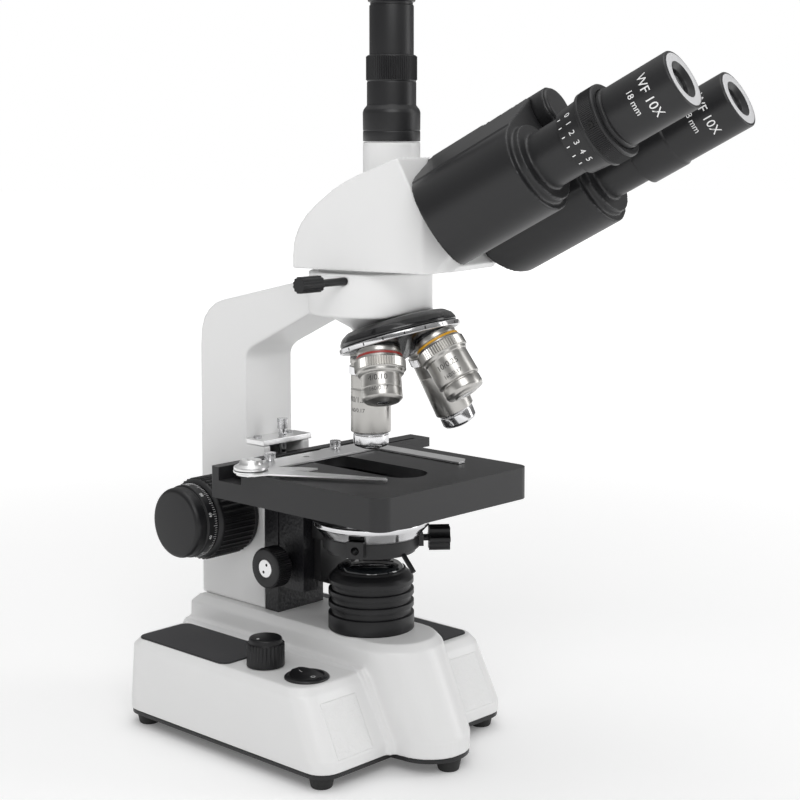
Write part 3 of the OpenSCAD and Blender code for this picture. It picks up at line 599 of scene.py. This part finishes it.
place(joined("diopter_scale", scale), "diopter", "black_enamel", "marking_white")

# ---- turret and objectives ----
stand_for(lathe("nosepiece_turned", TURRET, [
    (4.1, 50), (20.6, 50), (26.5, 51.2), (30, 53.6), (31.5, 56.2), (31.6, 57.4), (31.2, 58.2), (4.1, 58.2)],
    0.5), "nosepiece_base", "gloss_black")
place(lathe("turret_band", TURRET, [
    (30.4, 58.5), (32.5, 58.5), (32.75, 58.9), (32.75, 61.0), (32.2, 61.4), (30.4, 61.4)], 0.15), "turret",
    "chrome")
marks = [block(f"rim_mark_{k}", TURRET @ turned(20 * k, "Z"), (0.5, 0.7, 1.5), (32.6, 0, 60.0), 0.05)
         for k in range(18)]
place(joined("turret_rim_marks", marks), "turret", "chrome", "seam_dark")
stand_for(eased("turret", 0.3, name="turret_body"), "turret", "gloss_black")

RING = [(11.6, 0), (11.6, 2.4), (11.3, 2.6), (11.3, 2.9), (11.9, 3.1), (11.9, 4.2), (12.3, 4.4),
        (12.3, 5.2)]
KNURLED = [(12.7, 5.6), (12.7, 10.8), (12.2, 11.2), (12.1, 12.6)]


def objective(node, turn, body_shape, bore, knurl=True, finish=None):
    matrix = on_objective(turn)
    shape = [(bore, -3.6), (8.9, -3.6), (8.9, -0.05)] + body_shape
    end = body_shape[-1][1]
    shape += [(bore, end)]
    stand_for(lathe(node + "_turned", matrix, shape, 0.2), node, finish)
    if knurl:
        ribs(node + "_knurl", matrix, "turret", SLOT_OF[node], 60, 12.75, 5.8, 4.8, 0.62, finish=finish)


objective("objective_4x", -90, RING + KNURLED + [(11.5, 13.2), (10.5, 13.8), (10.5, 20.4), (10.35, 20.6),
          (10.35, 20.9), (10.5, 21.1), (10.5, 25.6), (8.8, 27.0), (3.6, 27.6)], 2.6)
objective("objective_10x", 180, RING + KNURLED + [(11.6, 13.0), (11.5, 13.4), (11.5, 26.2), (11.0, 26.6),
          (10.2, 26.8), (10.2, 27.6), (10.6, 27.8), (10.6, 31.8), (9.8, 33.4), (6.6, 33.8), (6.0, 34.5),
                                                  (3.6, 34.6)], 2.6)
SLIM = [(11.2, 0), (11.2, 3), (10.8, 3.2), (10.8, 4.4), (11.2, 4.6), (11.2, 9), (10.8, 9.2), (10.8, 16),
        (10.6, 16.2), (10.6, 16.6), (10.8, 16.8), (10.8, 39.6), (10.3, 40)]
objective("objective_40x", 90, SLIM, 9.6, False)
objective("objective_100x", 0, SLIM, 9.6, False)
for name, turn in (("40x", 90), ("100x", 0)):
    ribs(f"objective_{name}_knurl", on_objective(turn), "turret", "nickel", 64, 11.2, 4.8, 4.0, 0.5,
         finish="chrome")
for node, turn in (("sprung_tip_40x", 90), ("sprung_tip_100x", 0)):
    stand_for(lathe(node + "_turned", on_objective(turn), [
        (2.2, 24.6), (9.55, 24.6), (9.55, 40.4), (9.3, 40.6), (9.3, 41.2), (9.55, 41.4), (9.55, 46.2),
        (8.8, 47.4), (4.6, 49), (2.8, 49), (2.2, 48.4)], 0.2), node)
fronts = [lathe(f"front_lens_{turn}", on_objective(turn), [(0, end - 1), (3.5, end - 1), (3.5, end + 0.06),
                                                           (2.6, end - 0.1), (0, end - 0.3)], 0.05, 48)
          for turn, end in ((-90, 27.6), (180, 34.6))]
place(joined("front_lenses", fronts), "turret", "nickel", "glass")
for name, turn, finish in (("band_4x", -90, "band_red"), ("band_10x", 180, "band_yellow")):
    place(lathe(name, on_objective(turn), [(11.5, 3.0), (12.0, 3.0), (12.0, 4.3), (11.5, 4.3)], 0.1),
          "turret",
          "nickel", finish)
for name, turn, radius, lines, around in (
        ("4x", -90, 10.5, (("4/0.10", 4.2, 16.6), ("160/0.17", 3.0, 22.4)), -118),
        ("10x", 180, 11.5, (("10/0.25", 4.2, 18.0), ("160/0.17", 3.0, 23.6)), -26),
        ("40x", 90, 10.8, (("40/0.65", 4.2, 22.0), ("160/0.17", 3.0, 27.6)), 40),
        ("100x", 0, 10.8, (("100/1.25", 4.2, 22.0), ("160/0.17", 3.0, 27.6)), 190)):
    marks = []
    for i, (text, size, z) in enumerate(lines):
        marks.append(lettering(f"mark_{name}_{i}", text, size, on_objective(turn), radius, around, z,
                               turn=180,
                               depth=0.03))
    place(joined("marks_" + name, marks), "turret", "nickel", "marking_black")

# ---- lamp ----
stand_for(lathe("lamp_collar_turned", ON_AXIS, [
    (16.8, 59), (16.8, 65), (23.2, 65), (23.2, 73.4), (21.4, 73.6), (21.4, 76.9), (23.1, 77.1),
    (23.1, 80.0),
    (21.4, 80.2), (21.4, 83.4), (23.1, 83.6), (23.1, 86.5), (21.4, 86.7), (21.4, 89.6), (22.9, 89.8),
    (22.9, 92.4),
    (21.6, 94.2), (20.2, 95.6), (19.2, 96.4), (18.6, 97.6), (18.0, 97.8), (17.9, 95.4), (14, 95),
    (14, 59)], 0.25),
    "lamp_collar")
stand_for(lathe("field_lens_dome", ON_AXIS, [
    (0, 93.5), (14, 93.5), (14, 95.5), (17.85, 95.5), (17.85, 97.0), (17.2, 98.5), (15.6, 99.8),
    (12.8, 100.5),
    (8, 100.8), (4, 100.9), (0, 100.9)], 0.6), "field_lens")

# ---- focus knobs ----
for side, flip in (("left", 180), ("right", 0)):
    shaft = FOCUS_SHAFT @ turned(flip, "X")
    stand_for(lathe("coarse_turned_" + side, shaft, [
        (6, 18), (21.8, 18), (21.8, 20.4), (22.2, 20.8), (22.2, 44.2), (21.7, 45), (20.4, 46.2),
        (17.5, 46.2),
        (17.5, 37.8), (6, 37.8)], 0.4), "coarse_knob_" + side)
    ribs("coarse_grip_" + side, shaft, "coarse", "black_plastic", 44, 22.0, 21.4, 22.0, 0.95, 6)
    stand_for(lathe("fine_turned_" + side, shaft, [
        (3.05, 39), (8, 39), (8, 46.9), (20.0, 46.9), (20.2, 47.1), (20.2, 52.6), (19.9, 53.0),
        (19.2, 53.2),
        (19.2, 53.6), (19.4, 53.8), (19.4, 58.2), (18.6, 59.8), (17.4, 60.4), (0, 60.45), (0, 59.4),
        (3.05, 59.4)],
        0.5, 160), "fine_knob_" + side)
    ribs("fine_scale_" + side, shaft, "fine", "black_plastic", 100, 20.19, 47.0, 1.6, 0.09, 4,
         "marking_white")
    ribs("fine_tens_" + side, shaft, "fine", "black_plastic", 20, 20.19, 47.0, 2.5, 0.11, 4,
         "marking_white")
    digits = [lettering(f"fine_digit_{side}_{i}", str(i * 20), 2.5, shaft, 20.2, 36 * i, 51.0, depth=0.03)
              for i in range(10)]
    place(joined("fine_digits_" + side, digits), "fine", "black_plastic", "marking_white")

stand_for(lathe("condenser_knob_turned", CONDENSER_SHAFT, [
    (0, -32.4), (5.1, -32.4), (5.2, -33), (10.4, -33), (10.9, -32.6), (10.9, -23.2), (10.3, -22.6),
    (5, -22.6),
    (5, -17.4), (3, -17.4), (3, -4.6), (4.2, -4.6), (4.2, 4.6), (3, 4.6), (3, 15), (0, 15)], 0.3),
    "condenser_knob")
ribs("condenser_knob_grip", CONDENSER_SHAFT, "condenser_drive", "black_plastic", 52, 10.9, -32.2, 8.8, 0.42)
place(lathe("condenser_knob_plate", CONDENSER_SHAFT @ moved(0, 0, -33.1),
            [(0, 0), (4.9, 0), (5.0, 0.2), (5.0, 0.8),
                                                                        (0, 0.8)], 0.1, 48),
      "condenser_drive", "black_plastic", "silver")
# Painted shade: two thin dark discs on the end plate's face stand for the shade inside its two holes.
hole_shades = [lathe(f"plate_hole_shade_{k}", CONDENSER_SHAFT @ moved(k * 2.1, k * 1.2, -33.16),
               [(0, 0), (0.8, 0), (0.8, 0.2),
                                                                                 (0, 0.2)], 0.05, 24)
         for k in (-1, 1)]
place(joined("condenser_knob_hole_shades", hole_shades), "condenser_drive", "black_plastic", "seam_dark")

stand_for(lathe("brightness_turned", BRIGHTNESS, [
    (0, -8.6), (3, -8.6), (3, 0), (10.1, 0), (10.2, 0.4), (9.5, 11.4), (8.9, 12.4), (8.8, 14.3), (8.2, 15),
    (0, 15)], 0.35), "brightness_knob")
ribs("brightness_grip", BRIGHTNESS, "brightness", "black_plastic", 30, 9.2, 0.6, 11.4, 0.95, 6)
place(lathe("brightness_dot", BRIGHTNESS @ moved(-5.4, 0, 14.96), [(0, 0), (0.8, 0), (0.8, 0.1), (0, 0.1)],
            0.02, 20),
      "brightness", "black_plastic", "marking_white")

SWITCH = ON_AXIS @ moved(-51.5, -3.5, 49.5)
stand_for(lathe("switch_bezel_turned", SWITCH, [
    (9.0, -12), (9.8, -12), (9.8, -0.05), (11.8, -0.05), (11.8, 0.7), (11.2, 1.3), (9.6, 1.7), (9.2, 1.5),
    (9.0, 0.6)],
    0.25, 96), "switch_bezel", "black_enamel")


def rocker():
    """A round-sided rocker, dished along its length, with one end up."""
    b = bmesh.new()
    rows, columns = 24, 16
    grid = []
    for i in range(rows + 1):
        y = -8.4 + 16.8 * i / rows
        half = math.sqrt(max(0.0, 8.8 ** 2 - y ** 2))
        line = []
        for k in range(columns + 1):
            x = half * math.sin(math.pi * (k / columns - 0.5))
            z = 1.5 + 0.012 * y * y + 0.10 * y - 0.006 * x * x
            line.append(b.verts.new((x * MM, y * MM, z * MM)))
        grid.append(line)
    for i in range(rows):
        for k in range(columns):
            b.faces.new((grid[i][k], grid[i][k + 1], grid[i + 1][k + 1], grid[i + 1][k]))
    rim = [e for e in b.edges if e.is_boundary]
    down = bmesh.ops.extrude_edge_only(b, edges=rim)["geom"]
    lower = [v for v in down if isinstance(v, bmesh.types.BMVert)]
    for v in lower:
        v.co.z = -3 * MM
    bmesh.ops.holes_fill(b, edges=[e for e in b.edges if e.is_boundary])
    bmesh.ops.recalc_face_normals(b, faces=b.faces)
    return made_solid("rocker", b, SWITCH, 50)


stand_for(rocker(), "switch_rocker", "black_plastic")
off_mark = lathe("off_mark", SWITCH @ moved(0, -4.6, 1.3), [(0.9, 0), (1.25, 0), (1.25, 0.08), (0.9, 0.08)],
                 0.02, 32)
on_mark = block("on_mark", SWITCH @ moved(0, 4.8, 2.26) @ turned(12, "X"), (0.35, 2.4, 0.1), (0, 0, 0),
                0.02)
place(joined("switch_marks", [off_mark, on_mark]), "rocker", "gloss_black", "marking_white")

# ---- condenser ----
stand_for(lathe("condenser_turned", ON_AXIS, [
    (18, 109.6), (21.9, 109.6), (21.9, 115.7), (26, 115.7), (27, 117), (31, 121.4), (31.6, 122.2),
    (31.6, 124.4),
    (30.8, 125), (20, 125), (14, 134), (11, 136.5), (10.5, 141.6), (9, 142), (9, 137), (12, 132), (17, 124),
    (18, 122)], 0.25), "condenser_body", "chrome")

# ---- pads on the wings ----
# The left pad ends at the brightness knob, as in the CAD. The right one runs on to the front: 130 mm long and
# 33 mm wide, where the CAD's is 74 by 36.
PAD_FOOT, PAD_TOP, PAD_CORNER = 49.4, 50.3, 5


def pad(name, x, y_front, y_back, half):
    """A thin pad with round corners, centred on x and half wide to each side, in millimetres."""
    b = bmesh.new()
    ring = []
    for cx, cy, start in ((half - PAD_CORNER, y_back - PAD_CORNER, 0),
                          (PAD_CORNER - half, y_back - PAD_CORNER, 90),
                          (PAD_CORNER - half, y_front + PAD_CORNER, 180),
                          (half - PAD_CORNER, y_front + PAD_CORNER, 270)):
        for k in range(9):
            a = math.radians(start + 90 * k / 8)
            ring.append((x + cx + PAD_CORNER * math.cos(a), cy + PAD_CORNER * math.sin(a)))
    face = b.faces.new([b.verts.new((px * MM, (AXIS_Y + py) * MM, PAD_FOOT * MM)) for px, py in ring])
    raised = bmesh.ops.extrude_face_region(b, geom=[face])["geom"]
    up = [v for v in raised if isinstance(v, bmesh.types.BMVert)]
    bmesh.ops.translate(b, vec=(0, 0, (PAD_TOP - PAD_FOOT) * MM), verts=up)
    rim = [e for e in b.edges if all(v in up for v in e.verts)]
    bmesh.ops.bevel(b, geom=rim, offset=0.3 * MM, segments=2, affect="EDGES")
    bmesh.ops.recalc_face_normals(b, faces=b.faces)
    return made_solid(name, b, angle=40)


pads = [pad("pad_left", -50, 42.5, 116.5, 18), pad("pad_right", 48.5, -13.5, 116.5, 16.5)]
stand_for(joined("hand_pads_skin", pads), "hand_pads")

# ---- everything else keeps its CAD shape with eased edges ----
EASE = {"stage_plate": 0.8, "slide_holder": 0.18, "finger_clip": 0.15, "x_rail": 0.3, "stop_shelf": 0.35,
        "focus_block": 0.6, "stage_bracket": 0.6, "base_plate": 0.5, "condenser_holder": 0.5,
        "rubber_feet": 0.4}
EASE_OF_THE_REST = 0.2
LEFT_ALONE = {"head_prism", "led_module", "power_board", "coarse_shaft", "fine_shaft", "hinge_shaft",
              "condenser_lens", "eye_lens_left", "eye_lens_right", "focus_slide"}
RAIL_END, RAIL_CUT = -54.5, 9
for node, cad in frame["nodes"].items():
    cad.data.materials.clear()
    cad.data.materials.append(FINISH[SLOT_OF[node]].material)
for node in frame["nodes"]:
    if node not in STOOD_FOR and node not in LEFT_ALONE:
        skin = eased(node, EASE.get(node, EASE_OF_THE_REST))
        if node == "x_rail":  # its left end stops 9 mm short of the CAD rail's
            for v in skin.data.vertices:
                if v.co.x < RAIL_END * MM:
                    v.co.x += RAIL_CUT * MM
        stand_for(skin, node)


# ---- studio ----
def area_light(name, at, size, power):
    """A rectangular lamp aimed at the middle of the object."""
    lamp = bpy.data.lights.new(name, "AREA")
    lamp.shape, lamp.size, lamp.size_y = "RECTANGLE", size[0], size[1]
    lamp.energy = power
    holder = add(name, lamp)
    holder.location = at
    holder.rotation_mode = "QUATERNION"
    holder.rotation_quaternion = (Vector(TARGET) - Vector(at)).to_track_quat("-Z", "Y")


def disc(name, radius, sides=96):
    """A flat round floor, far wider than the view."""
    b = bmesh.new()
    edge = []
    for i in range(sides):
        a = 2 * math.pi * i / sides
        edge.append(b.verts.new((radius * math.cos(a), radius * math.sin(a), 0)))
    b.faces.new(edge)
    return made_solid(name, b)


floor = disc("floor", 9)
pale = Shader("floor_pale_painted_glow")
pale.set("Base Color", pale.mix(pale.noise(3), (0.93, 0.93, 0.93, 1), (0.95, 0.95, 0.95, 1)))
pale.set("Roughness", pale.noise(2) * 0.05 + 0.7)
# Painted glow: the floor emits light of its own, faint near the object and stronger further out.
far = pale.node("ShaderNodeVectorMath", {"operation": "LENGTH"}, pale.place)
pale.set("Emission Color", pale.mix(far.ramp(0.2, 2.0), (0.12, 0.12, 0.12, 1), (0.8, 0.8, 0.8, 1)))
pale.skin.inputs["Emission Strength"].default_value = 1.0
floor.data.materials.append(pale.material)

world = bpy.data.worlds.new("studio")
bpy.context.scene.world = world
world.use_nodes = True
sky = world.node_tree
background = sky.nodes["Background"]
background.inputs["Color"].default_value = (1, 1, 1, 1)
coordinate, split = sky.nodes.new("ShaderNodeTexCoord"), sky.nodes.new("ShaderNodeSeparateXYZ")
rise, seen, pick = (sky.nodes.new("ShaderNodeMapRange"), sky.nodes.new("ShaderNodeLightPath"),
                    sky.nodes.new("ShaderNodeMix"))
sky.links.new(coordinate.outputs["Generated"], split.inputs[0])
sky.links.new(split.outputs["Z"], rise.inputs["Value"])
for socket, value in (("From Min", 0.05), ("From Max", 0.75), ("To Min", 0.16), ("To Max", 0.60)):
    rise.inputs[socket].default_value = value
pick.inputs["B"].default_value = 1.0
sky.links.new(seen.outputs["Is Camera Ray"], pick.inputs["Factor"])
sky.links.new(rise.outputs[0], pick.inputs["A"])
sky.links.new(pick.outputs[0], background.inputs["Strength"])
TARGET = (0, 0.02, 0.2)
area_light("key", (-1.0, -1.0, 1.3), (1.1, 0.9), 11)
area_light("side", (1.3, -1.1, 0.7), (0.5, 1.4), 6)
area_light("top", (0, 0.1, 1.5), (1.0, 1.0), 5)

camera = bpy.data.cameras.new("camera")
camera.lens, camera.sensor_width, camera.shift_y = 75.77, 36, -0.145
camera.clip_start, camera.clip_end = 0.05, 60
eye = add("camera", camera)
YAW, PITCH = math.radians(46.8), math.radians(5.09)
eye.location = (-0.6386, -0.5650, 0.3298)
eye.rotation_mode = "XYZ"
eye.rotation_euler = (math.pi / 2 - PITCH, 0, -YAW)
bpy.context.scene.camera = eye
bpy.context.scene.view_settings.view_transform = "Standard"
